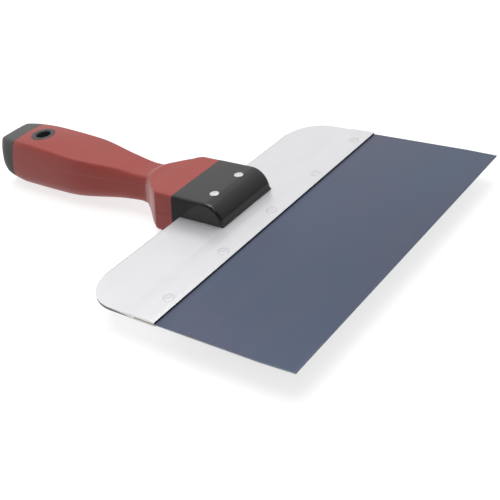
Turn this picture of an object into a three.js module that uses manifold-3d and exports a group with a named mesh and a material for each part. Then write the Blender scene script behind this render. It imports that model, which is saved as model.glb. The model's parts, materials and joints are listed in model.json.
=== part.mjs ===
// A drywall taping knife: a spring steel blade riveted into an extruded aluminium backing plate,
// which is riveted into the slotted nose of a hard core with a soft grip moulded over it.
// Millimetres. +X runs across the knife, +Y points to the cutting edge and +Z is up. While it is
// being built, y = 0 is the front edge of the backing plate and z = 0 the middle of the blade.

import * as THREE from "three";
import { mergeVertices } from "three/addons/utils/BufferGeometryUtils.js";
import Module from "manifold-3d";

const wasm = await Module();
wasm.setup();

// Blade
const BLADE_WIDTH = 203.2;
const BLADE_REACH = 77.5; // from the backing plate to the cutting edge
const BLADE_HELD = 12; // depth held in the backing plate's slot
const BLADE_THICKNESS = 0.6;
const RELIEF_LENGTH = 18; // the sides taper in over this length, so that the corners don't drag
const RELIEF_INSET = 0.85;

// Backing plate
const PLATE_DEPTH = 50.5;
const PLATE_CORNER = 22; // radius of the two rear corners
const WEB_THICKNESS = 2;
const JAW_THICKNESS = 3;
const LIP_THICKNESS = 2.5; // the jaw is thinner at its very front
const LIP_LENGTH = 3;
const JAW_DEPTH = 12.4; // the thick front strip that holds the blade
const JAW_SLOPE = 7.2; // and the slope behind it, down to the web
const SLOT_PLAY = 0.1; // above and below the blade
const SLOT_END_PLAY = 0.6;

// Blade rivets
const BLADE_RIVETS = 5;
const RIVET_PITCH = 43.05;
const RIVET_ROW_SHIFT = -2.6; // the row isn't quite centred
const RIVET_ROW_SETBACK = 6.3;
const RIVET_SHANK = 1.6;
const RIVET_HEAD = 3;
const RIVET_DOME = 0.55;
const RIVET_PLAY = 0.1; // around a rivet in its hole

// Core: nose and tang
const NOSE_WIDTH = 44.9;
const NOSE_HALF_HEIGHT = 13.4;
const NOSE_BEHIND_JAW = 0.5; // the nose starts this far behind the foot of the jaw's slope
const NOSE_UPRIGHT = 1.4; // straight strip above the plate, before the round
const NOSE_EDGE = 1.6; // rounding of the nose's side edges
const PLATE_PLAY = 0.15;
const PLATE_END_PLAY = 0.5;
const TANG_WIDTH = 13;
const TANG_HEIGHT = 12;
const TANG_SHORTFALL = 10; // from the tang's end to the hang hole's ring
const FIT_GAP = 0.3; // between pieces that were moulded or pressed together

// Handle rivets
const HANDLE_RIVET_SPACING = 21.9;
const HANDLE_RIVET_SETBACK = 32.6;
const HANDLE_RIVET_SHANK = 2;
const HANDLE_RIVET_HEAD = 2.8;
const HANDLE_RIVET_DOME = 0.4;
const HEAD_SINK = 0.5; // the heads sit in shallow counterbores in the nose
const HEAD_RIM_SHARE = 0.3; // of a rivet head's height that is its upright rim

// Grip. The seam between nose and grip, and every section behind it, leans back towards the
// underside by this much of its height.
const NOSE_BEHIND_PLATE = 3.1; // from the plate's rear edge to the seam, at the top face
const SECTION_LEAN = 0.2;
const FLARE_LENGTH = 13; // as wide as the nose, from the seam to the shoulders
const SHOULDER_LENGTH = 18; // from the shoulders in to the neck
const SHOULDER_ROUND = 1.3; // half the length over which each shoulder is rounded
const NECK_FILLET = 5; // length of the hollow curve from the shoulders' slope into the neck
const NECK_FILLET_RISE = 2.2; // and how far it stands out where it starts
const NECK_LENGTH = 16;
const GRIP_LENGTH = 84; // from the neck to where the butt starts to round off
const BUTT_LENGTH = 21;
const NECK_WIDTH = 20.6;
const NECK_SPREAD = 0.8; // added on each side by the end of the neck
const GRIP_WIDTH = 33;
const BUTT_WIDTH = 30;
const BUTT_ROUND = 6; // length of the rounded end, seen from above
const BUTT_ROUND_IN = 1.8; // and how far it comes in on each side
const NECK_TOP = 12;
const NECK_BOTTOM = -8.3;
const NECK_SAG = 5; // distance past the shoulders' end at which the top and underside level out
const NECK_RISE = 1.4; // of the top face, from there to the start of the grip
const NECK_DROP = 0.8; // and of the underside
const GRIP_TOP = 16.3;
const GRIP_BOTTOM = -15.2;
const BELLY_SETBACK = 8; // the underside is lowest from this far behind the grip's middle
const BUTT_TOP = 18.5;
const BUTT_BOTTOM = -12;
const GRIP_SQUARENESS = 2.5; // exponent of the section's superellipse
const FLARE_SQUARENESS = 16;
const UNDER_SQUARENESS = 8; // of the flare's lower half, which has softer edges
const FLARE_FLAT = 0.93; // width of the flat top, as a share of the section's width
const NECK_FLAT = 0.8;
const GRIP_FLAT = 0.89;
const BUTT_FLAT = 0.8;
const BUTT_CHAMFER_START = 2.5; // where the slope at the top of the butt starts, before its end
const BUTT_CHAMFER_LEAN = 0.7;
const CAP_LENGTH = 15; // the butt cap, measured along the top face
const CAP_LEAN = 0.33; // its joint leans back towards the underside too
const SECTION_SIDES = 40;
const SECTION_STEPS = 44;

// Hang hole
const HOLE_RADIUS = 4.5;
const RING_RADIUS = 8;
const HOLE_SETBACK = 28.5; // from the butt end

const ROUND_SIDES = 24;
const RIVET_SIDES = 16;
const CURVE_STEPS = 12; // along each round corner of a drawn outline
const EDGE_STEPS = 3; // across a rounded edge
const DOME_STEPS = 3;
const CUT_MARGIN = 1; // that stock is left over before a cut
const MERGE_DISTANCE = 1e-4;
const NEARLY_NOUGHT = 1e-6;
const HUGE = 400; // larger than the knife, for half spaces and for cuts right through
const THROUGH = [-HUGE, HUGE];

// ---- Solids -------------------------------------------------------------------------------

function solidOf(geometry) {
  const bare = geometry.index ? geometry.toNonIndexed() : geometry.clone();
  bare.deleteAttribute("normal");
  bare.deleteAttribute("uv");
  const merged = mergeVertices(bare, MERGE_DISTANCE);
  return new wasm.Manifold(
    new wasm.Mesh({
      numProp: 3,
      vertProperties: new Float32Array(merged.attributes.position.array),
      triVerts: new Uint32Array(merged.index.array),
    }),
  );
}

function geometryOf(solid) {
  const mesh = solid.getMesh();
  const positions = new Float32Array(mesh.numVert * 3);
  for (let i = 0; i < mesh.numVert; i++) {
    const start = i * mesh.numProp;
    positions.set(mesh.vertProperties.subarray(start, start + 3), i * 3);
  }
  const geometry = new THREE.BufferGeometry();
  geometry.setAttribute("position", new THREE.BufferAttribute(positions, 3));
  geometry.setIndex(new THREE.BufferAttribute(new Uint32Array(mesh.triVerts), 1));
  const faceted = geometry.toNonIndexed();
  faceted.computeVertexNormals();
  return faceted;
}

function block([x0, x1], [y0, y1], [z0, z1]) {
  const box = new THREE.BoxGeometry(x1 - x0, y1 - y0, z1 - z0);
  return solidOf(box.translate((x0 + x1) / 2, (y0 + y1) / 2, (z0 + z1) / 2));
}

// A round bar along Z.
function bar(radius, [z0, z1], x, y) {
  const cylinder = new THREE.CylinderGeometry(radius, radius, z1 - z0, ROUND_SIDES);
  cylinder.rotateX(Math.PI / 2);
  return solidOf(cylinder.translate(x, y, (z0 + z1) / 2));
}

// A side profile, drawn in (y, z), carried along X over the given width. Its ends can be rounded.
function acrossX(profile, width, edge = 0) {
  const extruded = new THREE.ExtrudeGeometry(profile, {
    depth: width - 2 * edge,
    steps: 1,
    curveSegments: CURVE_STEPS,
    bevelEnabled: edge > 0,
    bevelThickness: edge,
    bevelSize: edge,
    bevelOffset: -edge,
    bevelSegments: EDGE_STEPS,
  });
  extruded.translate(0, 0, -width / 2 + edge);
  const axes = new THREE.Matrix4().makeBasis(
    new THREE.Vector3(0, 1, 0),
    new THREE.Vector3(0, 0, 1),
    new THREE.Vector3(1, 0, 0),
  );
  return solidOf(extruded.applyMatrix4(axes));
}

// An outline, drawn in (x, y), carried along Z.
function alongZ(outline, [z0, z1]) {
  const extruded = new THREE.ExtrudeGeometry(outline, {
    depth: z1 - z0,
    steps: 1,
    curveSegments: CURVE_STEPS,
    bevelEnabled: false,
  });
  return solidOf(extruded.translate(0, 0, z0));
}

// Everything behind a plane across the knife that passes through (y, z) and leans back, by
// lean mm of y for each mm further down.
function behindPlane(y, z, lean) {
  const half = new THREE.BoxGeometry(HUGE, HUGE, HUGE);
  half.translate(0, -HUGE / 2, 0);
  half.rotateX(-Math.atan(lean));
  return solidOf(half.translate(0, y, z));
}

// A smooth line through [place, value] points that never swings past them.
function fairLine(points) {
  const rise = points.slice(1).map((p, i) => (p[1] - points[i][1]) / (p[0] - points[i][0]));
  const slope = points.map((_, i) => {
    const before = rise[Math.max(i - 1, 0)];
    const after = rise[Math.min(i, rise.length - 1)];
    return before * after <= 0 ? 0 : (2 * before * after) / (before + after);
  });
  return (place) => {
    const last = points.length - 2;
    let i = 0;
    while (i < last && place > points[i + 1][0]) i++;
    const step = points[i + 1][0] - points[i][0];
    const t = THREE.MathUtils.clamp((place - points[i][0]) / step, 0, 1);
    const ease = t * t * (3 - 2 * t);
    const leave = t * (1 - t) * (1 - t) * step * slope[i];
    const arrive = -t * t * (1 - t) * step * slope[i + 1];
    return points[i][1] * (1 - ease) + points[i + 1][1] * ease + leave + arrive;
  };
}

// ---- Handle shape -------------------------------------------------------------------------

const NOSE_SETBACK = JAW_DEPTH + JAW_SLOPE + NOSE_BEHIND_JAW;
const SEAM_SETBACK = PLATE_DEPTH + NOSE_BEHIND_PLATE;
const SHOULDER = FLARE_LENGTH;
const NECK = SHOULDER + SHOULDER_LENGTH;
const NECK_END = NECK + NECK_LENGTH;
const GRIP_MIDDLE = NECK_END + GRIP_LENGTH / 2;
const BUTT = NECK_END + GRIP_LENGTH;
const HANDLE_LENGTH = BUTT + BUTT_LENGTH;
const SEAM_START = 2; // the handle's bar starts this far before the seam, and is cut back to it
const NOSE_SPARE = 12; // and the nose starts out this much too long behind it
const TANG_ROOT = 1; // the tang starts this far behind the plate

const holeY = -(SEAM_SETBACK + HANDLE_LENGTH - HOLE_SETBACK);

// Half width, top and underside of the handle at a distance behind the seam.
const NOSE_HALF = NOSE_WIDTH / 2;
const NECK_HALF = NECK_WIDTH / 2;
const GRIP_HALF = GRIP_WIDTH / 2;
const BUTT_HALF = BUTT_WIDTH / 2;
const halfWidthAt = fairLine([
  [0, NOSE_HALF],
  [SHOULDER - SHOULDER_ROUND, NOSE_HALF],
  [SHOULDER + SHOULDER_ROUND, NOSE_HALF - SHOULDER_ROUND],
  [NECK - NECK_FILLET, NECK_HALF + NECK_FILLET_RISE],
  [NECK, NECK_HALF],
  [NECK_END, NECK_HALF + NECK_SPREAD],
  [GRIP_MIDDLE, GRIP_HALF],
  [BUTT, (GRIP_HALF + BUTT_HALF) / 2],
  [HANDLE_LENGTH - BUTT_ROUND, BUTT_HALF],
  [HANDLE_LENGTH, BUTT_HALF - BUTT_ROUND_IN],
]);
const topAt = fairLine([
  [0, NOSE_HALF_HEIGHT],
  [SHOULDER + SHOULDER_LENGTH / 2, NOSE_HALF_HEIGHT],
  [NECK + NECK_SAG, NECK_TOP],
  [NECK_END + NECK_SAG, NECK_TOP + NECK_RISE],
  [GRIP_MIDDLE, GRIP_TOP],
  [BUTT, BUTT_TOP],
  [HANDLE_LENGTH, BUTT_TOP],
]);
const bottomAt = fairLine([
  [0, -NOSE_HALF_HEIGHT],
  [SHOULDER + NECK_FILLET, -NOSE_HALF_HEIGHT],
  [NECK + NECK_SAG, NECK_BOTTOM],
  [NECK_END, NECK_BOTTOM - NECK_DROP],
  [GRIP_MIDDLE + BELLY_SETBACK, GRIP_BOTTOM],
  [BUTT, GRIP_BOTTOM],
  [HANDLE_LENGTH, BUTT_BOTTOM],
]);
const squarenessAt = fairLine([
  [0, FLARE_SQUARENESS],
  [SHOULDER, FLARE_SQUARENESS],
  [NECK, GRIP_SQUARENESS],
  [HANDLE_LENGTH, GRIP_SQUARENESS],
]);
const underSquarenessAt = fairLine([
  [0, FLARE_SQUARENESS],
  [SHOULDER, UNDER_SQUARENESS],
  [NECK, GRIP_SQUARENESS],
  [HANDLE_LENGTH, GRIP_SQUARENESS],
]);
const flatShareAt = fairLine([
  [0, FLARE_FLAT],
  [SHOULDER, FLARE_FLAT],
  [NECK, NECK_FLAT],
  [GRIP_MIDDLE, GRIP_FLAT],
  [BUTT, GRIP_FLAT],
  [HANDLE_LENGTH, BUTT_FLAT],
]);

// Sines and cosines that ought to be nought are made so, or a small power blows them up.
const snapped = (value) => (Math.abs(value) < NEARLY_NOUGHT ? 0 : value);

// A bar along Y whose ring of vertices is reshaped to the handle's section at each step.
function handleBody() {
  const geometry = new THREE.CylinderGeometry(1, 1, 1, SECTION_SIDES, SECTION_STEPS);
  const position = geometry.attributes.position;
  for (let i = 0; i < position.count; i++) {
    const place = -SEAM_START + (0.5 - position.getY(i)) * (HANDLE_LENGTH + SEAM_START);
    const side = snapped(position.getX(i));
    const up = snapped(position.getZ(i));
    const squareness = up < 0 ? underSquarenessAt(place) : squarenessAt(place);
    const power = 2 / squareness;
    const top = topAt(place);
    const bottom = bottomAt(place);
    const middle = (top + bottom) / 2;
    // The upper half would be this much taller if its top weren't cut flat.
    const crown = (1 - flatShareAt(place) ** squareness) ** (-1 / squareness);
    const tall = up > 0 ? crown : 1;
    const x = halfWidthAt(place) * Math.sign(side) * Math.abs(side) ** power;
    const z = Math.min(middle + tall * (top - middle) * Math.sign(up) * Math.abs(up) ** power, top);
    position.setXYZ(i, x, -SEAM_SETBACK - place - SECTION_LEAN * (NOSE_HALF_HEIGHT - z), z);
  }
  return solidOf(geometry);
}

function seamPlane(shift = 0) {
  return behindPlane(-SEAM_SETBACK - shift, NOSE_HALF_HEIGHT, SECTION_LEAN);
}

function capPlane(shift = 0) {
  const setback = SEAM_SETBACK + HANDLE_LENGTH - CAP_LENGTH;
  return behindPlane(-setback - shift, BUTT_TOP, CAP_LEAN);
}

// The slope across the top of the butt.
function buttChamfer() {
  const end = SEAM_SETBACK + HANDLE_LENGTH;
  return behindPlane(-end + BUTT_CHAMFER_START, BUTT_TOP, BUTT_CHAMFER_LEAN);
}

function tang(gap = 0) {
  const half = TANG_WIDTH / 2 + gap;
  const end = holeY + RING_RADIUS + TANG_SHORTFALL - gap;
  const middle = (NECK_TOP + NECK_BOTTOM) / 2;
  const up = TANG_HEIGHT / 2 + gap;
  return block([-half, half], [end, -PLATE_DEPTH - TANG_ROOT], [middle - up, middle + up]);
}

const wholeHandle = handleBody().subtract(buttChamfer());

// ---- Sub-parts ----------------------------------------------------------------------------

const bladeRivetPlaces = Array.from({ length: BLADE_RIVETS }, (_, i) => [
  RIVET_ROW_SHIFT + ((BLADE_RIVETS - 1) / 2 - i) * RIVET_PITCH,
  -RIVET_ROW_SETBACK,
]);
const handleRivetPlaces = [1, -1].map((side) => [
  (side * HANDLE_RIVET_SPACING) / 2,
  -HANDLE_RIVET_SETBACK,
]);

function drill(solid, places, radius, span = THROUGH) {
  return places.reduce((rest, [x, y]) => rest.subtract(bar(radius, span, x, y)), solid);
}

function blade() {
  const half = BLADE_WIDTH / 2;
  const outline = new THREE.Shape();
  outline.moveTo(-half, -BLADE_HELD);
  outline.lineTo(half, -BLADE_HELD);
  outline.lineTo(half, BLADE_REACH - RELIEF_LENGTH);
  outline.lineTo(half - RELIEF_INSET, BLADE_REACH);
  outline.lineTo(-half + RELIEF_INSET, BLADE_REACH);
  outline.lineTo(-half, BLADE_REACH - RELIEF_LENGTH);
  outline.closePath();
  const sheet = alongZ(outline, [-BLADE_THICKNESS / 2, BLADE_THICKNESS / 2]);
  return drill(sheet, bladeRivetPlaces, RIVET_SHANK + RIVET_PLAY);
}

// The extrusion's section: one point for each change of thickness, mirrored below.
function plateSection() {
  const jaw = JAW_THICKNESS / 2;
  const web = WEB_THICKNESS / 2;
  const slot = BLADE_THICKNESS / 2 + SLOT_PLAY;
  const slotEnd = -BLADE_HELD - SLOT_END_PLAY;
  const upper = [
    [slotEnd, slot],
    [0, slot],
    [0, LIP_THICKNESS / 2],
    [-LIP_LENGTH, jaw],
    [-JAW_DEPTH, jaw],
    [-JAW_DEPTH - JAW_SLOPE, web],
    [-PLATE_DEPTH, web],
  ];
  const lower = upper.map(([y, z]) => [y, -z]).reverse();
  return new THREE.Shape([...upper, ...lower].map(([y, z]) => new THREE.Vector2(y, z)));
}

function plateOutline() {
  const half = BLADE_WIDTH / 2;
  const corner = half - PLATE_CORNER;
  const turn = -PLATE_DEPTH + PLATE_CORNER;
  const outline = new THREE.Shape();
  outline.moveTo(half, CUT_MARGIN);
  outline.lineTo(-half, CUT_MARGIN);
  outline.lineTo(-half, turn);
  outline.absarc(-corner, turn, PLATE_CORNER, Math.PI, 1.5 * Math.PI, false);
  outline.lineTo(corner, -PLATE_DEPTH);
  outline.absarc(corner, turn, PLATE_CORNER, 1.5 * Math.PI, 2 * Math.PI, false);
  outline.closePath();
  return outline;
}

function backingPlate() {
  const stock = acrossX(plateSection(), BLADE_WIDTH + 2 * CUT_MARGIN);
  const cut = stock.intersect(alongZ(plateOutline(), [-JAW_THICKNESS, JAW_THICKNESS]));
  const forBlade = drill(cut, bladeRivetPlaces, RIVET_SHANK + RIVET_PLAY);
  return drill(forBlade, handleRivetPlaces, HANDLE_RIVET_SHANK + RIVET_PLAY);
}

// Two low domed heads on one shank, about the blade's mid plane, with seats at the given height.
function rivet(shank, head, dome, seat) {
  const rim = seat + dome * HEAD_RIM_SHARE;
  const upper = [
    [shank, seat],
    [head, seat],
  ];
  for (let i = 0; i < DOME_STEPS; i++) {
    const angle = (i / DOME_STEPS) * (Math.PI / 2);
    upper.push([head * Math.cos(angle), rim + (seat + dome - rim) * Math.sin(angle)]);
  }
  upper.push([0, seat + dome]);
  const lower = upper.map(([r, z]) => [r, -z]).reverse();
  const profile = [...lower, ...upper].map(([r, z]) => new THREE.Vector2(r, z));
  return solidOf(new THREE.LatheGeometry(profile, RIVET_SIDES).rotateX(Math.PI / 2));
}

function noseProfile() {
  const rear = -SEAM_SETBACK - NOSE_SPARE;
  const top = NOSE_HALF_HEIGHT;
  const foot = WEB_THICKNESS / 2 + NOSE_UPRIGHT;
  const round = top - foot;
  const profile = new THREE.Shape();
  profile.moveTo(rear, -top);
  profile.lineTo(-NOSE_SETBACK - round, -top);
  profile.absarc(-NOSE_SETBACK - round, -foot, round, -Math.PI / 2, 0, false);
  profile.lineTo(-NOSE_SETBACK, foot);
  profile.absarc(-NOSE_SETBACK - round, foot, round, 0, Math.PI / 2, false);
  profile.lineTo(rear, top);
  profile.closePath();
  return profile;
}

function handleCore() {
  const nose = acrossX(noseProfile(), NOSE_WIDTH, NOSE_EDGE).subtract(seamPlane());
  const slotHalf = WEB_THICKNESS / 2 + PLATE_PLAY;
  const slot = block(THROUGH, [-PLATE_DEPTH - PLATE_END_PLAY, 0], [-slotHalf, slotHalf]);
  const headSeat = NOSE_HALF_HEIGHT - HEAD_SINK;
  let core = nose.add(tang()).subtract(slot);
  core = drill(core, handleRivetPlaces, HANDLE_RIVET_SHANK + RIVET_PLAY);
  core = drill(core, handleRivetPlaces, HANDLE_RIVET_HEAD + RIVET_PLAY, [headSeat, HUGE]);
  return drill(core, handleRivetPlaces, HANDLE_RIVET_HEAD + RIVET_PLAY, [-HUGE, -headSeat]);
}

function gripOvermould() {
  const sleeve = wholeHandle.intersect(seamPlane(FIT_GAP)).subtract(capPlane(-FIT_GAP / 2));
  const hollow = sleeve.subtract(tang(FIT_GAP));
  return hollow.subtract(bar(RING_RADIUS + FIT_GAP, THROUGH, 0, holeY));
}

function buttCap() {
  return wholeHandle.intersect(capPlane(FIT_GAP / 2));
}

function hangHoleRing() {
  const lining = wholeHandle.intersect(bar(RING_RADIUS, THROUGH, 0, holeY));
  return lining.subtract(bar(HOLE_RADIUS, THROUGH, 0, holeY));
}

// ---- Materials ----------------------------------------------------------------------------

const material = (color, roughness, metalness) =>
  new THREE.MeshStandardMaterial({ color, roughness, metalness });
const BLUED_STEEL = material(0x4b566e, 0.35, 1);
const ALUMINIUM = material(0xdfe0e2, 0.4, 1);
const ZINC_PLATE = material(0xd2d4d8, 0.3, 1);
const HARD_BLACK = material(0x26262a, 0.25, 0);
const SOFT_RED = material(0xa33a34, 0.6, 0);
const CHARCOAL = material(0x4a484a, 0.65, 0);

// ---- Assembly -----------------------------------------------------------------------------

function named(name, solid, look) {
  const mesh = new THREE.Mesh(geometryOf(solid), look);
  mesh.name = name;
  return mesh;
}

const knife = new THREE.Group();
knife.add(
  named("blade", blade(), BLUED_STEEL),
  named("backing_plate", backingPlate(), ALUMINIUM),
  named("handle_core", handleCore(), HARD_BLACK),
  named("grip_overmould", gripOvermould(), SOFT_RED),
  named("butt_cap", buttCap(), CHARCOAL),
  named("hang_hole_ring", hangHoleRing(), CHARCOAL),
);

const bladeRivet = rivet(RIVET_SHANK, RIVET_HEAD, RIVET_DOME, JAW_THICKNESS / 2);
bladeRivetPlaces.forEach(([x, y], i) => {
  const mesh = named(`blade_rivet_${i + 1}`, bladeRivet, ZINC_PLATE);
  mesh.position.set(x, y, 0);
  knife.add(mesh);
});

const handleRivet = rivet(
  HANDLE_RIVET_SHANK,
  HANDLE_RIVET_HEAD,
  HANDLE_RIVET_DOME,
  NOSE_HALF_HEIGHT - HEAD_SINK,
);
handleRivetPlaces.forEach(([x, y], i) => {
  const mesh = named(`handle_rivet_${i + 1}`, handleRivet, ZINC_PLATE);
  mesh.position.set(x, y, 0);
  knife.add(mesh);
});

// The origin is the middle of the knife's footprint, at its lowest point.
const extent = new THREE.Box3().setFromObject(knife);
const middle = extent.getCenter(new THREE.Vector3());
knife.position.set(-middle.x, -middle.y, -extent.min.z);

export default knife;
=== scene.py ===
# %% [markdown]
# A drywall taping knife: a thin blued spring-steel blade, riveted into the slot of an extruded
# aluminium backing plate, which is riveted into the black nose of a handle with a soft red grip.
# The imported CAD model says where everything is. This script gives each piece its real surface:
# rounded edges, mould lines, rivet heads and worked-out finishes.

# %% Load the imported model
import json

import bpy
import numpy as np
from mathutils import Matrix, Vector

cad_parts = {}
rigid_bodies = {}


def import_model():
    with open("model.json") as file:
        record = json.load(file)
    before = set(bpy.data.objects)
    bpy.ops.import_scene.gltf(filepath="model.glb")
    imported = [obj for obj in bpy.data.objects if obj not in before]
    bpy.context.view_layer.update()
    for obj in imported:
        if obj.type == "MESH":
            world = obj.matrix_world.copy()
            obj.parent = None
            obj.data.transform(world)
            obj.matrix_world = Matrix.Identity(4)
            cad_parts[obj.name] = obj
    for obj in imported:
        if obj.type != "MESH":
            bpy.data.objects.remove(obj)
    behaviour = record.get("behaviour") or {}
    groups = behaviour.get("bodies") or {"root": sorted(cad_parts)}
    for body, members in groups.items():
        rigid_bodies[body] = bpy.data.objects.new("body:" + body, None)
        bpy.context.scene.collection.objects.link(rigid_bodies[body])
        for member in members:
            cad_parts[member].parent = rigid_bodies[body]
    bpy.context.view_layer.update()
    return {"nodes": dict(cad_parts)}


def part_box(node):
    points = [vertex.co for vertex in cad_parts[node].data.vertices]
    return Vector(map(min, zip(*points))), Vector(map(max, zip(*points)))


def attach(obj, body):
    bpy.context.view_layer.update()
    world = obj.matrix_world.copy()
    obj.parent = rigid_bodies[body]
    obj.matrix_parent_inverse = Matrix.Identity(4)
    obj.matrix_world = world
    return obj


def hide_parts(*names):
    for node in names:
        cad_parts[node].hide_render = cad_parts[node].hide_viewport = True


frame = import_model()
MM = 0.001
print("CAD nodes:", sorted(frame["nodes"]))

# %% [markdown]
# All places come from the CAD boxes. The knife lies along Y with its cutting edge at +Y. The front
# edge of the backing plate and the middle of the blade's thickness are the two levels that every
# other place is counted from, because the real knife is also built around them.

# %% Reference levels
blade_box = np.array(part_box("blade"))
plate_box = np.array(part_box("backing_plate"))
core_box = np.array(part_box("handle_core"))
ring_box = np.array(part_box("hang_hole_ring"))
LIP_Y = plate_box[1, 1]
MID_Z = blade_box[:, 2].mean()
HALF_WIDTH = blade_box[1, 0]
print("plate's front edge at y", round(LIP_Y, 4), "blade's middle at z", round(MID_Z, 4))

# %% [markdown]
# The camera looks down along the blade from its front right corner. It comes first, so that any
# later cell can be tried out with a picture. Its place is counted from the middle of the plate's
# front edge, and a small roll levels the cutting edge as the eye would hold it.

# %% Camera
CAMERA_PLACE = Vector((322.6, 259.9, 244.7)) * MM
CAMERA_AIM = Vector((32.4, 4.4, 0.0)) * MM
CAMERA_ROLL = -9.92
CAMERA_LENS = 65.54
SENSOR_WIDTH = 36.0
NEAREST_SEEN = 10 * MM
origin = Vector((0.0, LIP_Y, MID_Z))
camera_data = bpy.data.cameras.new("camera")
camera_data.lens = CAMERA_LENS
camera_data.sensor_width = SENSOR_WIDTH
camera_data.clip_start = NEAREST_SEEN
camera = bpy.data.objects.new("camera", camera_data)
bpy.context.scene.collection.objects.link(camera)
look = (CAMERA_AIM - CAMERA_PLACE).to_track_quat("-Z", "Y").to_matrix().to_4x4()
roll = Matrix.Rotation(np.radians(CAMERA_ROLL), 4, "Z")
camera.matrix_world = Matrix.Translation(origin + CAMERA_PLACE) @ look @ roll
bpy.context.scene.camera = camera
print("camera at", [round(v, 3) for v in camera.location])

# %% [markdown]
# Every new piece is a grid of points, worked out as one numpy array of rings. A ring is a closed
# section, and neighbouring rings are joined by quads. These helpers turn such an array into a
# mesh, close its ends, and turn all faces outwards by looking at the sign of the volume.


# %% Helpers that turn arrays into meshes
def ring_quads(rings, points):
    """Quads between rings of points: corner (i, j), (i, j+1), (i+1, j+1), (i+1, j), j wrapping."""
    i = np.arange(rings - 1)[:, None] * points
    j = np.arange(points)[None, :]
    k = (j + 1) % points
    return np.stack([i + j, i + k, i + points + k, i + points + j], axis=-1).reshape(-1, 4)


def volume(vertices, triangles):
    """Signed volume: a sixth of the sum of a . (b x c) over all triangles."""
    a, b, c = (vertices[triangles[:, n]] for n in range(3))
    return np.einsum("ij,ij->i", a, np.cross(b, c)).sum() / 6


# %% Add a piece and join its rings
def add_piece(name, vertices, faces, smooth_angle=None):
    """A mesh object at the origin. With an angle given, edges bent more than that stay sharp."""
    mesh = bpy.data.meshes.new(name)
    mesh.from_pydata(vertices.tolist(), [], [list(map(int, f)) for f in faces])
    mesh.update()
    mesh.polygons.foreach_set("use_smooth", np.ones(len(mesh.polygons), bool))
    if smooth_angle is not None:
        mesh.set_sharp_from_angle(angle=np.radians(smooth_angle))
    piece = bpy.data.objects.new(name, mesh)
    bpy.context.scene.collection.objects.link(piece)
    return piece


def loft(name, rings, smooth_angle=None, looped=False):
    """A closed piece from an array (rings, points, 3): quads between rings, and a flat cap at
    each end. A looped one is a tube, whose last ring joins its first, so it needs no caps."""
    count, points, _ = rings.shape
    quads = ring_quads(count + looped, points) % (count * points)
    vertices = rings.reshape(-1, 3)
    last = (count - 1) * points + np.arange(points)
    ends = [] if looped else [np.arange(points)[::-1], last]
    halves = [quads[:, [0, 1, 2]], quads[:, [0, 2, 3]]]
    fans = [np.stack([np.full(points - 2, e[0]), e[1:-1], e[2:]], axis=1) for e in ends]
    if volume(vertices - vertices.mean(0), np.concatenate(halves + fans)) < 0:
        quads, ends = quads[:, ::-1], [e[::-1] for e in ends]
    return add_piece(name, vertices, [*quads, *ends], smooth_angle)


def quarter(steps):
    """Inset and height shares along a quarter round, from (1, 0) on the face to (0, 1) at the side."""
    angle = np.linspace(0, np.pi / 2, steps)
    return 1 - np.sin(angle), 1 - np.cos(angle)


# %% Settle a piece on its body
def settle(piece, slot, *nodes):
    """The piece rides on the knife's one body and stands for nodes, which it hides. The slot is not
    used.
    """
    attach(piece, "root")
    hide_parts(*nodes)
    print(piece.name, len(piece.data.polygons), "faces")
    return piece


# %% [markdown]
# The blade is sheet steel, so its shape is an outline with a very small round on its edge. The
# same edge profile is carried all the way round the outline, and two flat faces close it. A ring
# just inside each face's border keeps the shading of the big face flat. A thin cube with a Bevel
# modifier would do too, but the two relieved corners would have to be moved by hand.

# %% Blade
RELIEF_LENGTH = 18 * MM
RELIEF_INSET = 0.85 * MM
BLADE_EDGE = 0.12 * MM
SUPPORT = 0.4 * MM
EDGE_STEPS = 4


def edge_rings(outline, normals, low, high, edge, support):
    """An edge profile carried round an outline. Each ring is the outline moved inwards by the
    profile's inset and lifted to its height: flat face, quarter round, side, quarter round, face."""
    inset, drop = quarter(EDGE_STEPS)
    insets = np.concatenate([[support + edge], edge * inset, edge * inset[::-1], [support + edge]])
    heights = np.concatenate([[low], low + edge * drop, high - edge * drop[::-1], [high]])
    plan = outline[None] - insets[:, None, None] * normals[None]
    tall = np.broadcast_to(heights[:, None, None], (*plan.shape[:2], 1))
    return np.concatenate([plan, tall], axis=2)


def corner_normals(outline):
    """Outward move at each corner that shifts both of its sides by one: for a closed outline that
    runs anticlockwise, the sum of the two sides' normals over one plus their dot product."""
    side = np.roll(outline, -1, axis=0) - outline
    side /= np.linalg.norm(side, axis=1, keepdims=True)
    after = np.stack([side[:, 1], -side[:, 0]], axis=1)
    before = np.roll(after, 1, axis=0)
    return (after + before) / (1 + (after * before).sum(1, keepdims=True))


# %% Outline and sheet of the blade
blade_half = HALF_WIDTH - RELIEF_INSET
held_y, cutting_y = blade_box[:, 1]
relief_y = cutting_y - RELIEF_LENGTH
right = [[HALF_WIDTH, held_y], [HALF_WIDTH, relief_y], [blade_half, cutting_y]]
left = [[-x, y] for x, y in right[::-1]]
blade_outline = np.array([left[-1], *right, *left[:-1]])
blade_moves = corner_normals(blade_outline)
low_face, high_face = blade_box[:, 2]
blade = loft(
    "blade_sheet",
    edge_rings(blade_outline, blade_moves, low_face, high_face, BLADE_EDGE, SUPPORT),
)
settle(blade, "blued_steel", "blade")

# %% [markdown]
# The backing plate is an aluminium extrusion. Its section is drawn in (y, z) and carried along X,
# and where it reaches the rounded rear corners the section simply ends sooner: the half width is a
# function of y. Die lines are real grooves in the section, so they run dead straight along X. An
# extruded curve would need its corners cut off afterwards, and its edges rounded again.

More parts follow.
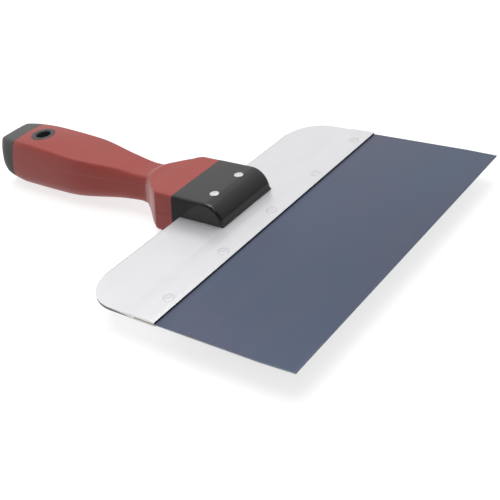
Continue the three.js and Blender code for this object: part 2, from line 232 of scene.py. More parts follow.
# %% Backing plate
PLATE_CORNER = 22 * MM
LIP_HALF = 1.25 * MM
JAW_HALF = plate_box[1, 2] - MID_Z
WEB_HALF = 1 * MM
LIP_LENGTH = 3 * MM
JAW_DEPTH = 12.4 * MM
JAW_SLOPE = 7.2 * MM
SLOT_HALF = 0.4 * MM
SLOT_DEPTH = 12.6 * MM
PLATE_EDGE = 0.25 * MM
PLATE_DEPTH = LIP_Y - plate_box[0, 1]
JAW_POINTS, WEB_POINTS, BEND_POINTS, PLATE_COLUMNS = 260, 8, 28, 25
PAST_SLOPE = 2 * MM
# Angles past which an edge is shaded as a sharp one, in degrees.
CRISP, SOFT = 40, 50
# Die lines: distance behind the lip, depth and half width of each small groove.
DIE_LINES = np.array(
    [[0.9, 0.02, 0.18], [12.4, 0.03, 0.35], [14.9, 0.01, 0.25], [17.1, 0.01, 0.2], [19.7, 0.035, 0.4]]
) * MM


# %% Section of the plate
def plate_half(depth):
    """Half width at a depth behind the lip: full, then a quarter circle into the rear edge."""
    past = np.clip(depth - (PLATE_DEPTH - PLATE_CORNER), 0, PLATE_CORNER)
    return HALF_WIDTH - PLATE_CORNER + np.sqrt(np.maximum(PLATE_CORNER**2 - past**2, 0))


def plate_height(depth):
    """Half thickness at a depth: lip, jaw, slope and web, joined by straight lines, less each
    die line's groove, which is a cosine bell of its own depth and half width."""
    places = [0, LIP_LENGTH, JAW_DEPTH, JAW_DEPTH + JAW_SLOPE, PLATE_DEPTH]
    level = np.interp(depth, places, [LIP_HALF, JAW_HALF, JAW_HALF, WEB_HALF, WEB_HALF])
    away = np.clip(np.abs(depth[:, None] - DIE_LINES[None, :, 0]) / DIE_LINES[None, :, 2], 0, 1)
    return level - (DIE_LINES[None, :, 1] * (1 + np.cos(np.pi * away)) / 2).sum(1)


def plate_depths():
    """Depths at which the section is sampled: finely over the jaw, evenly round the corner."""
    turn = np.linspace(0, np.pi / 2, BEND_POINTS)
    bend = np.sin(turn) * PLATE_CORNER + PLATE_DEPTH - PLATE_CORNER
    jaw = np.linspace(PLATE_EDGE, JAW_DEPTH + JAW_SLOPE + PAST_SLOPE, JAW_POINTS)
    web = np.linspace(jaw[-1], bend[0], WEB_POINTS)[1:-1]
    return np.concatenate([jaw, web, bend[:-1]])


# %% Rings of the plate
def plate_rings():
    """One ring per column across the plate. A ring is the closed section: over the top to the
    rear, back along the underside, and into the slot and out again."""
    depth = plate_depths()
    height = plate_height(depth)
    inset, drop = quarter(EDGE_STEPS)
    end = PLATE_DEPTH - PLATE_EDGE * inset
    lip_y = PLATE_EDGE * inset
    upper_y = np.concatenate([lip_y[::-1], depth[1:], end])
    upper_z = np.concatenate(
        [LIP_HALF - PLATE_EDGE * drop[::-1], height[1:], WEB_HALF - PLATE_EDGE * drop]
    )
    slot_y = np.array([0, SLOT_DEPTH, SLOT_DEPTH, 0])
    slot_z = np.array([-SLOT_HALF, -SLOT_HALF, SLOT_HALF, SLOT_HALF])
    y = np.concatenate([upper_y, upper_y[::-1], slot_y])
    z = np.concatenate([upper_z, -upper_z[::-1], slot_z])
    outer = np.concatenate([np.ones(2 * len(upper_y)), np.zeros(len(slot_y))])
    columns = np.linspace(-1, 1, PLATE_COLUMNS)
    half = plate_half(y)
    body = columns[:, None] * (half - 2 * PLATE_EDGE)[None]
    border = half[None] - PLATE_EDGE * inset[:, None]
    x = np.concatenate([-border[::-1], body, border])
    shrink = np.concatenate([drop[::-1], np.zeros(len(columns)), drop])[:, None]
    inward = np.sign(z)[None] * outer[None] * PLATE_EDGE * shrink
    ys = np.broadcast_to(LIP_Y - y[None], x.shape)
    return np.stack([x, ys, MID_Z + z[None] - inward], axis=2)


plate = loft("extruded_plate", plate_rings(), smooth_angle=CRISP)
settle(plate, "aluminium", "backing_plate")

# %% [markdown]
# A rivet head is turned, so it is a profile spun round an axis: a low dome with a soft rim. The
# five small ones that hold the blade stand on both faces of the plate, so both halves of a rivet
# come from one profile and its mirror image.


# %% Rivets
def lathe_rings(profile, centre, sides):
    """A profile of (radius, height) spun round a vertical axis: x and y are radius times cosine
    and sine of the turn. The profile starts and ends close to the axis, and flat caps close it."""
    turn = np.linspace(0, 2 * np.pi, sides, endpoint=False)[None]
    radius, height = profile[:, :1], profile[:, 1:]
    x = centre[0] + radius * np.cos(turn)
    y = centre[1] + radius * np.sin(turn)
    return np.stack([x, y, centre[2] + np.broadcast_to(height, x.shape)], axis=2)


# %% Profile of a head
RIVET_SIDES = 48
RIM_SHARE = 0.28
RIM_TURN = np.pi / 2 * 0.6
RIM_POINTS, DOME_POINTS = 8, 14
POLE_SHARE = 0.02
DISH_POWER = 6
SHANK_SHARE = 0.6


def head_profile(shank, head, seat, dome, dish=0.0):
    """Half of a rivet: shank, the underside of the head, a rounded rim and a dome, whose height
    falls off with the square of the radius, less a shallow dish at its middle."""
    rim = RIM_SHARE * dome
    turn = np.linspace(-np.pi / 2, RIM_TURN, RIM_POINTS)
    rim_r = head - rim + rim * np.cos(turn)
    rim_z = seat + rim + rim * np.sin(turn)
    r = np.linspace(rim_r[-1], POLE_SHARE * head, DOME_POINTS)[1:]
    share = 1 - (r / rim_r[-1]) ** 2
    z = rim_z[-1] + (seat + dome - rim_z[-1]) * share - dish * share**DISH_POWER
    upper = np.array([[shank, 0.0], [shank, seat]])
    return np.concatenate([upper, np.stack([rim_r, rim_z], 1), np.stack([r, z], 1)])


def rivet_piece(node, slot, head, dome, seat, dish):
    """Both halves of a rivet, one above and one below the blade's middle, round the node's axis."""
    low, high = (np.array(corner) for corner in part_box(node))
    centre = np.array([*(low + high)[:2] / 2, MID_Z])
    half = head_profile(head * SHANK_SHARE, head, seat, dome, dish)
    both = np.concatenate([(half * [1, -1])[::-1], half[1:]])
    piece = loft(node + "_turned", lathe_rings(both, centre, RIVET_SIDES), smooth_angle=SOFT)
    return settle(piece, slot, node)


# %% Blade rivets
BLADE_RIVET_HEAD = 3.0 * MM
BLADE_RIVET_DOME = 0.28 * MM
BLADE_RIVET_DISH = 0.12 * MM
BLADE_RIVETS, HANDLE_RIVETS = 5, 2
for number in range(1, BLADE_RIVETS + 1):
    rivet_piece(
        f"blade_rivet_{number}", "rivet_steel", BLADE_RIVET_HEAD, BLADE_RIVET_DOME,
        JAW_HALF, BLADE_RIVET_DISH,
    )

# %% [markdown]
# The two rivets that hold the nose to the plate are solid drive rivets with a slightly domed head,
# sunk a little into the plastic. They are the same turned profile as the small ones, larger and
# without a dish, so one function makes both kinds. Spinning a curve with the Screw modifier would
# give the same form, but an array needs no modifier to apply.

# %% Handle rivets
HANDLE_RIVET_HEAD = 2.8 * MM
HANDLE_RIVET_DOME = 0.5 * MM
HANDLE_RIVET_SUNK = 0.3 * MM
NOSE_HALF_HEIGHT = core_box[1, 2] - MID_Z
for number in range(1, HANDLE_RIVETS + 1):
    rivet_piece(
        f"handle_rivet_{number}", "rivet_steel", HANDLE_RIVET_HEAD, HANDLE_RIVET_DOME,
        NOSE_HALF_HEIGHT - HANDLE_RIVET_SUNK, 0.0,
    )

# %% [markdown]
# The hard nose is one side profile carried across the knife, with its side edges rounded over.
# Near each side the profile is moved inwards along its own normals by the depth of a quarter
# circle, which is what a rounded edge is. The slot's points are left where they are. A bevelled
# box would round every edge alike, and this nose has one large round and several small ones.

# %% Nose
NOSE_EDGE = 1.6 * MM
NOSE_FRONT = LIP_Y - core_box[1, 1]
NOSE_UPRIGHT = 1.4 * MM
STEP_DEPTH = 0.6 * MM
NOSE_SLOT = WEB_HALF + 0.15 * MM
NOSE_SLOT_END = PLATE_DEPTH - 0.05 * MM
NOSE_SLOT_ROUND = 0.12 * MM
SEAM = 53.6 * MM
SECTION_LEAN = 0.2
LEAN_START = 0.75
ARC_POINTS, BEAD_POINTS, TOP_POINTS = 40, 6, 25
NOSE_EDGE_STEPS, NOSE_COLUMNS = 12, 21
NOSE_SMOOTH = 35
print("nose starts", round(NOSE_FRONT / MM, 2), "mm behind the lip")


# %% Side profile of the nose
def nose_half_profile():
    """The upper half of the side profile as (depth behind the lip, height), from the slot's mouth
    forward and up over the round to the seam: a small upright foot, a step back, a quarter circle
    and the flat top. With it goes the way each point faces, which rounding the edge needs."""
    foot = WEB_HALF + NOSE_UPRIGHT
    radius = NOSE_HALF_HEIGHT - foot
    turn = np.linspace(0, np.pi / 2, ARC_POINTS)
    arc_y = NOSE_FRONT + STEP_DEPTH + (radius - STEP_DEPTH) * (1 - np.cos(turn))
    arc_z = foot + radius * np.sin(turn)
    arc = np.stack([arc_y, arc_z], 1)
    arc_n = np.stack([-np.cos(turn), np.sin(turn)], 1)
    bend = np.linspace(0, np.pi / 2, BEAD_POINTS)
    bead_y = NOSE_FRONT + STEP_DEPTH * (1 - np.cos(bend))
    bead_z = foot - STEP_DEPTH + STEP_DEPTH * np.sin(bend)
    low_z = np.concatenate([[NOSE_SLOT, NOSE_SLOT + NOSE_SLOT_ROUND], bead_z])
    low_y = np.concatenate([[NOSE_FRONT + NOSE_SLOT_ROUND, NOSE_FRONT], bead_y])
    low = np.stack([low_y, low_z], 1)[:-1]
    low_n = np.array([[-1.0, 0.0]] * len(low))
    low_n[0] = [0, 0]
    top_y = np.linspace(NOSE_FRONT + radius, SEAM, TOP_POINTS + 1)[1:]
    top = np.stack([top_y, np.full(TOP_POINTS, NOSE_HALF_HEIGHT)], 1)
    top_n = np.array([[0.0, 1.0]] * TOP_POINTS)
    return np.concatenate([low, arc, top]), np.concatenate([low_n, arc_n, top_n])


# %% Rings of the nose
def nose_rings():
    """One ring per column across the nose: the closed side profile, with its outer points moved
    inwards near the sides by the rounded edge's depth."""
    upper, upper_n = nose_half_profile()
    lower, lower_n = upper[::-1] * [1, -1], upper_n[::-1] * [1, -1]
    slot = np.array([[NOSE_SLOT_END, -NOSE_SLOT], [NOSE_SLOT_END, NOSE_SLOT]])
    profile = np.concatenate([upper, lower, slot])
    move = np.concatenate([upper_n, lower_n, np.zeros_like(slot)])
    inset, drop = quarter(NOSE_EDGE_STEPS)
    half = core_box[1, 0]
    middle = (np.linspace(-1, 1, NOSE_COLUMNS) * (half - NOSE_EDGE))[1:-1]
    x = np.concatenate([-half + NOSE_EDGE * inset[::-1], middle, half - NOSE_EDGE * inset])
    depth = NOSE_EDGE * np.concatenate([drop[::-1], np.zeros(len(middle)), drop])
    # A last ring inside each side face keeps the face's shading flat.
    x = np.concatenate([[x[0]], x, [x[-1]]])
    depth = np.concatenate([[depth[0] + SUPPORT], depth, [depth[-1] + SUPPORT]])
    section = profile[None] - depth[:, None, None] * move[None]
    lean = SECTION_LEAN * (NOSE_HALF_HEIGHT - section[..., 1])
    rear = np.clip((section[..., 0] - SEAM * LEAN_START) / (SEAM * (1 - LEAN_START)), 0, 1)
    rear[:, -len(slot):] = 0
    y = LIP_Y - section[..., 0] - lean * rear
    xs = np.broadcast_to(x[:, None], y.shape)
    return np.stack([xs, y, MID_Z + section[..., 1]], axis=2)


nose = loft("hard_nose", nose_rings(), smooth_angle=NOSE_SMOOTH)
settle(nose, "hard_black", "handle_core")

# %% [markdown]
# The grip is the one free-formed piece. A mould maker draws it as sections strung along a few
# fair lines: half width, top and underside. Each section is a superellipse, squarer at the flare
# and rounder at the grip, with its top cut flat. The same function gives the skin of the grip and
# of the butt cap, so they meet exactly.


# %% Fair lines of the handle
def fair_line(points):
    """A smooth line through (place, value) points that never swings past them: cubic Hermite
    pieces whose slopes are the harmonic mean of the rises on either side, or nought at a turn."""
    place, value = (np.array(c, float) * MM for c in zip(*points))
    rise = np.diff(value) / np.diff(place)
    before = np.concatenate([rise[:1], rise])
    after = np.concatenate([rise, rise[-1:]])
    both = before * after
    total = np.where(before + after == 0, 1, before + after)
    slope = np.where(both <= 0, 0, 2 * both / total)

    def line(at):
        i = np.clip(np.searchsorted(place, at, side="left") - 1, 0, len(place) - 2)
        step = place[i + 1] - place[i]
        t = np.clip((at - place[i]) / step, 0, 1)
        ease = t * t * (3 - 2 * t)
        leave = t * (1 - t) ** 2 * step * slope[i]
        arrive = -t * t * (1 - t) * step * slope[i + 1]
        return value[i] * (1 - ease) + value[i + 1] * ease + leave + arrive

    return line


# %% Lines of this handle
# Places behind the seam, in millimetres, as all rows of (place, value) below are.
FLARE, NECK, NECK_END, GRIP_MIDDLE, BUTT, HANDLE_LENGTH = 13, 31, 47, 89, 131, 152
half_width_at = fair_line(
    [(0, 22.45), (11.7, 22.45), (14.3, 21.15), (26, 12.5), (NECK, 10.3), (NECK_END, 11.1),
     (GRIP_MIDDLE, 16.5), (BUTT, 15.75), (144, 15.1), (149, 14.1), (HANDLE_LENGTH, 12.2)]
)
neck_top_at = fair_line(
    [(0, 11.7), (36, 11.7), (54, 13.5), (GRIP_MIDDLE, 16.3), (114, 18.1), (126, 18.6), (139, 18.3),
     (HANDLE_LENGTH, 17.6)]
)
bottom_at = fair_line(
    [(0, -13.4), (18, -13.4), (36, -8.3), (NECK_END, -9.1), (97, -14.7), (BUTT, -15.0),
     (HANDLE_LENGTH, -11.2)]
)
squareness_at = fair_line([(0, 16), (FLARE, 16), (NECK, 2.5), (HANDLE_LENGTH, 2.5)])
under_squareness_at = fair_line([(0, 16), (FLARE, 8), (NECK, 2.5), (HANDLE_LENGTH, 2.5)])
flat_share_at = fair_line(
    [(0, 0.93), (FLARE, 0.93), (NECK, 0.8), (52, 0.8), (GRIP_MIDDLE, 0.87), (BUTT, 0.88),
     (HANDLE_LENGTH, 0.8)]
)
edge_round_at = fair_line(
    [(0, 0.5), (FLARE, 0.6), (NECK, 2.2), (60, 1.2), (GRIP_MIDDLE, 1.6), (BUTT, 3.4),
     (HANDLE_LENGTH, 2.4)]
)
print("handle from y", round(LIP_Y - SEAM, 4), "to", round(LIP_Y - SEAM - HANDLE_LENGTH * MM, 4))

# %% [markdown]
# The top is cut flat with a smooth minimum rather than a hard one, so the edge between the top
# and the side is a soft ridge, sharper in the middle of the grip and softer near the butt.

# %% Handle skin
CHAMFER_START = 0.9 * MM
CHAMFER_LEAN = 0.7
CHAMFER_ROUND = 1.2 * MM
TOP_LEVEL = 18.5 * MM
END_LEVEL = 17.6 * MM


def smooth_min(a, b, k):
    """The lower of a and b, blended over a band k wide so that the crossing is a round."""
    h = np.clip(0.5 + 0.5 * (b - a) / k, 0, 1)
    return b * (1 - h) + a * h - k * h * (1 - h)


# %% Top, crease and crown
FLARE_TOP_END = 28.2 * MM
FLARE_TOP_CURVE = 41.0
FLARE_TOP_SLOPE = 5.5 * MM
FLARE_TOP_REACH = 18 * MM
CREASE_HEIGHT = fair_line([(30, 6.0), (44, 6.9), (55, 6.4), (69, 7.1), (92, 8.2)])
CREASE_DEPTH = fair_line([(28, 0), (38, 0.2), (50, 0.34), (74, 0.34), (98, 0)])
CROWN_AT = fair_line([(60, 0), (89, 0.3), (118, 1.1), (HANDLE_LENGTH, 1.1)])
CROWN_HALF = 14 * MM
# How far below the crease the dent starts, is full, begins to fade and has gone.
DENT_START, DENT_FULL, DENT_FADES, DENT_GONE = np.array([-0.5, 0.9, 2, 9]) * MM
DENT_MIDDLE = 8 * MM


def eased(value, low, high):
    """From 0 at low to 1 at high along 3t^2 - 2t^3, and level outside."""
    t = np.clip((value - low) / (high - low), 0, 1)
    return t * t * (3 - 2 * t)


def top_at(place, x=0.0):
    """Level of the cut top: the nose's own level over the flare, which ends in a parabola across
    the handle and falls over a short slope to the neck's line. Towards the butt the top is
    crowned: the middle stands higher, and the crown falls off with the square of x."""
    edge = FLARE_TOP_END - FLARE_TOP_CURVE * np.minimum(np.abs(x), FLARE_TOP_REACH) ** 2
    mix = eased(place, edge, edge + FLARE_TOP_SLOPE)
    crown = CROWN_AT(place) * (1 - np.minimum(np.abs(x) / CROWN_HALF, 1) ** 2)
    return NOSE_HALF_HEIGHT * (1 - mix) + neck_top_at(place) * mix + crown


def crease_dent(place, z):
    """How far the side is let in below the finger crease: a full dent just under the crease that
    fades out further down."""
    below = CREASE_HEIGHT(place) - z
    fading = 1 - eased(below, DENT_FADES, DENT_GONE)
    return CREASE_DEPTH(place) * eased(below, DENT_START, DENT_FULL) * fading


# %% Point of the skin
def handle_skin(place, turn):
    """Point of the handle's skin at a place behind the seam and a turn round the section: x is
    the half width times the sine to a power, z the half height times the cosine to a power, cut
    by the flat top and the slope across the butt, and y leans back with depth below the top."""
    side, up = np.sin(turn), np.cos(turn)
    square = np.where(up < 0, under_squareness_at(place), squareness_at(place)) / MM
    power = 2 / square
    share = flat_share_at(place) / MM
    upper_square = squareness_at(place) / MM
    crown = np.where(up > 0, (1 - share**upper_square) ** (-1 / upper_square), 1)
    x = half_width_at(place) * np.sign(side) * np.abs(side) ** power
    top, bottom = top_at(place, x), bottom_at(place)
    middle = (top + bottom) / 2
    z = middle + crown * (top - middle) * np.sign(up) * np.abs(up) ** power
    z = np.where(up > 0, smooth_min(z, top, edge_round_at(place)), z)
    behind = HANDLE_LENGTH * MM - CHAMFER_START - place
    slope_z = END_LEVEL + CROWN_AT(place) + behind / CHAMFER_LEAN
    z = np.where(up > 0, smooth_min(z, np.maximum(slope_z, bottom), CHAMFER_ROUND), z)
    x = x - np.sign(x) * crease_dent(place, z) * eased(np.abs(x), 0, DENT_MIDDLE)
    y = LIP_Y - SEAM - place - SECTION_LEAN * (NOSE_HALF_HEIGHT - z)
    return np.stack([x, y, MID_Z + z], axis=-1)


# %% Rings of skin
PER_QUARTER = 64
CROWDING = 1.5


def turns():
    """Angles round a section, crowded towards the axes, where a squarish section needs them: in
    each quarter the share s becomes s^c / (s^c + (1 - s)^c)."""
    s = np.arange(PER_QUARTER) / PER_QUARTER
    share = s**CROWDING / (s**CROWDING + (1 - s) ** CROWDING)
    return ((np.arange(4)[:, None] + share[None]) * np.pi / 2).ravel()


def skin_strip(starts, ends, shares):
    """Rings of skin between two joints. A joint is a plane, so its place varies round the ring:
    shares of the way from the start place to the end place give the rings between."""
    turn = turns()[None]
    place = starts[None] * (1 - shares[:, None]) + ends[None] * shares[:, None]
    return handle_skin(place, np.broadcast_to(turn, place.shape))


# %% Joint between grip and cap
JOINT_ROUNDS = 12


def joint_places(setback, lean, level):
    """Place at which each line of the skin meets a leaning plane, found by going back and forth a
    few times: where the plane is at the skin's height, and how high the skin is at that place."""
    turn = turns()
    place = np.full(turn.shape, setback)
    for _ in range(JOINT_ROUNDS):
        z = handle_skin(place, turn)[:, 2] - MID_Z
        place = setback + lean * (level - z) - SECTION_LEAN * (NOSE_HALF_HEIGHT - z)
    return place


CAP_LENGTH = 15.0 * MM
CAP_LEAN = 0.33
CAP_SETBACK = HANDLE_LENGTH * MM - CAP_LENGTH
JOINT_GROOVE = 0.12 * MM
cap_joint = joint_places(CAP_SETBACK, CAP_LEAN, TOP_LEVEL)
print("cap joint from", round(cap_joint.min() / MM, 1), "to", round(cap_joint.max() / MM, 1))


def shrink_ring(ring, by):
    """A ring moved inwards by a small distance, towards its own middle."""
    middle = ring.mean(0)
    reach = np.linalg.norm(ring - middle, axis=1, keepdims=True)
    return middle + (ring - middle) * (1 - by / reach)


def turned_in(ring, round_by):
    """Two rings in place of an end ring: one inside the flat end, and one at the small round."""
    return [shrink_ring(ring, SUPPORT * 2), shrink_ring(ring, round_by)]


def closed_strip(rings, round_by):
    """Rings with both ends turned in."""
    last = turned_in(rings[-1], round_by)[::-1]
    return np.concatenate([turned_in(rings[0], round_by), rings[1:-1], last])


# %% [markdown]
# The grip is rubber injected over the hard core, so it has no edges of its own except the shoulder
# of the flare and the joint against the butt cap. It could be sculpted or built with subdivision
# surfaces. Lofting it through exact sections keeps the flare, the hollow neck and the swell at the
# sizes that they have, and rings set closer together carry the sharper curves.

# %% Grip
# Where each stretch of the grip ends, and how many rings it gets: finer over the flare's shoulder
# and in its hollow curve.
GRIP_STRETCHES = [(0, 10, 10), (10, 17, 24), (17, 40, 48)]
REST_RINGS = 90
NEAR_ENDS = np.array([0.1, 0.25, 0.5, 1.0]) * MM
SEAM_GAP = 0.05 * MM


def grip_shares():
    """Shares along the grip: even steps within each stretch, and a few rings close to both ends."""
    parts = [np.linspace(a * MM, b * MM, n)[1:] for a, b, n in GRIP_STRETCHES]
    rest = np.linspace(parts[-1][-1], CAP_SETBACK - NEAR_ENDS[-1], REST_RINGS)[1:]
    ends = [[0], NEAR_ENDS[:2], CAP_SETBACK - NEAR_ENDS[:3], [CAP_SETBACK]]
    return np.unique(np.concatenate([*ends, *parts, rest])) / CAP_SETBACK


seam_start = np.full(len(turns()), SEAM_GAP)
grip_rings = skin_strip(seam_start, cap_joint, grip_shares())
grip = loft("soft_grip", closed_strip(grip_rings, JOINT_GROOVE), smooth_angle=SOFT)
settle(grip, "soft_red", "grip_overmould")

# %% [markdown]
# The butt is a harder, darker plastic. It meets the rubber at a leaning joint with a fine groove,
# where both edges turn in by a tenth of a millimetre, which catches a thin dark line as on any two
# shot moulding. Its end is never quite flat, so more rings bulge it out like a shallow dome.

# %% Butt cap
BUTT_BULGE = 3.7 * MM
BUTT_BULGE_START = 0.2 * MM
BULGE_SQUARENESS = 2.4
BULGE_POINTS, CAP_POINTS = 26, 60
NEAR_JOINT = [0, 0.01, 0.02, 0.04]


def bulge(last):
    """The rounded end behind the last ring of skin: a superellipse, on which the ring's size is
    the cosine and its push backwards the sine of a turn, each to the power two over squareness."""
    turn = np.linspace(0, np.pi / 2, BULGE_POINTS)[1:-1]
    size = np.cos(turn) ** (2 / BULGE_SQUARENESS)
    back = BUTT_BULGE * np.sin(turn) ** (2 / BULGE_SQUARENESS)
    middle = (last.max(0) + last.min(0)) / 2
    rings = middle + (last - middle) * size[:, None, None]
    rings[..., 1] -= back[:, None]
    return rings


cap_end = np.full(len(turns()), HANDLE_LENGTH * MM - BUTT_BULGE_START)
cap_shares = np.unique(np.concatenate([NEAR_JOINT, np.linspace(0, 1, CAP_POINTS)]))
cap_rings = skin_strip(cap_joint, cap_end, cap_shares)
cap_front = turned_in(cap_rings[0], JOINT_GROOVE)
whole_cap = np.concatenate([cap_front, cap_rings[1:], bulge(cap_rings[-1])])
cap = loft("butt_cap_skin", whole_cap, smooth_angle=SOFT)
settle(cap, "charcoal", "butt_cap")

# %% [markdown]
# The two halves of the mould meet halfway up the handle and leave a hair-thin line of rubber. It
# is a tiny bead carried along the skin's own outermost line on each side. A bump could only fake
# it, and would vanish in profile.

# %% Mould lines
MOULD_LINE = 0.1 * MM
MOULD_LINE_START, MOULD_LINE_END = 0.4 * MM, 15 * MM
MOULD_LINE_THIN, MOULD_LINE_TAPER = 0.02 * MM, 2 * MM
MOULD_LINE_POINTS, MOULD_LINE_SIDES = 60, 8
SIDE_TURNS = np.linspace(0.4, 0.6, 161) * np.pi


def mould_line(name, side):
    """A thin round bead whose middle follows the skin at the handle's mid height, where z
    crosses nought. It swells from a hair's breadth over a short stretch at both ends."""
    place = np.linspace(MOULD_LINE_START, MOULD_LINE_END, MOULD_LINE_POINTS)
    table = handle_skin(*np.meshgrid(place, SIDE_TURNS * side, indexing="ij"))
    near = np.abs(table[..., 2] - MID_Z).argmin(1)
    path = table[np.arange(len(place)), near]
    path[:, 2] = MID_Z
    along = np.gradient(path, axis=0)
    along /= np.linalg.norm(along, axis=1, keepdims=True)
    up = np.array([0.0, 0.0, 1.0])
    out = np.cross(along, up)
    angle = np.linspace(0, 2 * np.pi, MOULD_LINE_SIDES, endpoint=False)
    ring = np.cos(angle)[None, :, None] * out[:, None] + np.sin(angle)[None, :, None] * up
    size = MOULD_LINE * eased(np.minimum(place, place[-1] - place), 0, MOULD_LINE_TAPER)
    return loft(name, path[:, None] + ring * (MOULD_LINE_THIN + size[:, None, None]))


mould_lines = [mould_line("mould_line_right", 1), mould_line("mould_line_left", -1)]
for line in mould_lines:
    settle(line, "soft_red")

# %% [markdown]
# A ring of plastic lines the hole that the knife hangs by. Its rim follows the crowned top and the
# rounded underside, so it isn't a plain tube: each point of the rim is set at the height that the
# skin has just there. A Shrinkwrap modifier could do that, but the skin's own formula is exact.

# %% Hang hole lining
hole = (ring_box[0] + ring_box[1]) / 2
print("hang hole at", hole.round(4))
HOLE_RADIUS = 4.5 * MM
RING_RADIUS = 7.6 * MM
LINING_ROUND = 1.1 * MM
HOLE_SIDES, LINING_POINTS = 72, 8
# The rim from its foot inwards: how far inside the outer radius, and how far above the skin.
RIM_IN = np.array([0, 0, 0.15, 0.5]) * MM
RIM_UP = np.array([-1.5, 0.0, 0.12, 0.15]) * MM
# The part of the skin that the table below covers, counted forwards from the butt.
TABLE_FROM, TABLE_TO = 45 * MM, 12 * MM
TABLE_TURNS, TABLE_PLACES = 241, 240


# %% Rim that follows the skin
def skin_level(x, y, upper):
    """Height of the handle's top or underside at (x, y), read off a fine table of the skin."""
    turn = np.linspace(-0.5, 0.5, TABLE_TURNS) * np.pi + (0 if upper else np.pi)
    end = HANDLE_LENGTH * MM
    place = np.linspace(end - TABLE_FROM, end - TABLE_TO, TABLE_PLACES)
    table = handle_skin(*np.meshgrid(place, turn, indexing="ij"))
    gap = (table[..., 0][None] - x.ravel()[:, None, None]) ** 2
    gap = gap + (table[..., 1][None] - y.ravel()[:, None, None]) ** 2
    near = gap.reshape(len(gap), -1).argmin(1)
    return table[..., 2].ravel()[near].reshape(x.shape)


def lining():
    """Rings from the outer foot of the rim over the top, down the bore and out underneath."""
    turn = np.linspace(0, 2 * np.pi, HOLE_SIDES, endpoint=False)[None]
    inset, drop = quarter(LINING_POINTS)
    radius = np.concatenate([RING_RADIUS - RIM_IN, HOLE_RADIUS + LINING_ROUND * inset])
    up = np.concatenate([RIM_UP, RIM_UP[-1] - LINING_ROUND * drop])
    r = np.concatenate([radius, radius[::-1]])[:, None]
    x = hole[0] + r * np.cos(turn)
    y = hole[1] + r * np.sin(turn)
    count = len(radius)
    level_top = skin_level(x[:count], y[:count], True)
    level_low = skin_level(x[:count], y[:count], False)
    z = np.concatenate([level_top + up[:, None], (level_low - up[:, None])[::-1]])
    return np.stack([x, y, z], axis=2)


ring = loft("hang_hole_lining", lining(), smooth_angle=SOFT, looped=True)
settle(ring, "charcoal", "hang_hole_ring")

# %% [markdown]
# The rubber has to make room for the lining. A Boolean takes a plain cylinder out of the grip, and
# it is applied at once, so that the finished mesh holds the hole and no modifier stays on it. It is
# the one place where a cut is simpler than shaping the sections round the opening.

# %% Bore the hang hole through the grip
BORE_CLEARANCE = 0.05 * MM
BORE_REACH = 40 * MM


def bore(piece, radius, centre, reach):
    """A round hole through a piece: a cylinder is taken away by a Boolean, whose result replaces
    the mesh."""
    profile = np.array([[radius, -reach], [radius, reach]])
    cutter = loft("cutter", lathe_rings(profile, centre, HOLE_SIDES))
    cut = piece.modifiers.new("bore", "BOOLEAN")
    cut.operation = "DIFFERENCE"
    cut.object = cutter
    cut.solver = "EXACT"
    bpy.context.view_layer.update()
    applied = piece.evaluated_get(bpy.context.evaluated_depsgraph_get())
    done = bpy.data.meshes.new_from_object(applied)
    piece.modifiers.clear()
    piece.data = done
    bpy.data.objects.remove(cutter)
    done.set_sharp_from_angle(angle=np.radians(SOFT))
    print(piece.name, "bored:", len(done.polygons), "faces")


bore(grip, RING_RADIUS + BORE_CLEARANCE, hole, BORE_REACH)

# %% [markdown]
# Finishes. Each is a small node tree on Object coordinates: a base colour with faint variation,
# roughness that varies at its own scale, and a bump for grain or moulded texture. Painted images
# could do the same, but noise needs no unwrapping, no files, and is sharp at any distance.


# %% Node helpers
MICRON = 1e-6
# Noise gathers round a half, so only the middle of its range is used.
NOISE_SPAN = (0.3, 0.7)


def shader_of(finish):
    """The Principled shader of a finish."""
    return finish.node_tree.nodes["Principled BSDF"]


def fix(finish, socket, value):
    """Set a value that is the same all over the surface on the shader's own socket."""
    shader_of(finish).inputs[socket].default_value = value


def new_finish(name, base, roughness, metallic=0.0):
    """A material with a Principled shader and its fixed values."""
    finish = bpy.data.materials.new(name)
    finish.use_nodes = True
    fix(finish, "Base Color", (*base, 1))
    fix(finish, "Roughness", roughness)
    fix(finish, "Metallic", metallic)
    return finish


def join(finish, output, socket):
    """Link an output to a socket of the finish's shader."""
    finish.node_tree.links.new(output, shader_of(finish).inputs[socket])


# %% Noise, ranges and distances
def noise(finish, scale, detail, stretch=(1, 1, 1), roughness=0.55):
    """Noise on Object coordinates, whose scale is given per metre and per axis."""
    nodes, links = finish.node_tree.nodes, finish.node_tree.links
    coords = nodes.new("ShaderNodeTexCoord")
    mapping = nodes.new("ShaderNodeMapping")
    mapping.inputs["Scale"].default_value = stretch
    texture = nodes.new("ShaderNodeTexNoise")
    texture.inputs["Scale"].default_value = scale
    texture.inputs["Detail"].default_value = detail
    texture.inputs["Roughness"].default_value = roughness
    links.new(coords.outputs["Object"], mapping.inputs["Vector"])
    links.new(mapping.outputs["Vector"], texture.inputs["Vector"])
    return texture.outputs["Fac"]


def map_range(tree, value, span, result, smooth=False):
    """A value carried from one span of numbers to another, evenly or along 3t^2 - 2t^3."""
    node = tree.nodes.new("ShaderNodeMapRange")
    if smooth:
        node.interpolation_type = "SMOOTHSTEP"
    sockets = ("From Min", "From Max", "To Min", "To Max")
    for socket, number in zip(sockets, (*span, *result)):
        node.inputs[socket].default_value = number
    tree.links.new(value, node.inputs["Value"])
    return node.outputs["Result"]


def along(tree, coordinate, direction):
    """Distance along a direction: the dot product of a texture coordinate with it."""
    coords = tree.nodes.new("ShaderNodeTexCoord")
    dot = tree.nodes.new("ShaderNodeVectorMath")
    dot.operation = "DOT_PRODUCT"
    dot.inputs[1].default_value = direction
    tree.links.new(coords.outputs[coordinate], dot.inputs[0])
    return dot.outputs["Value"]


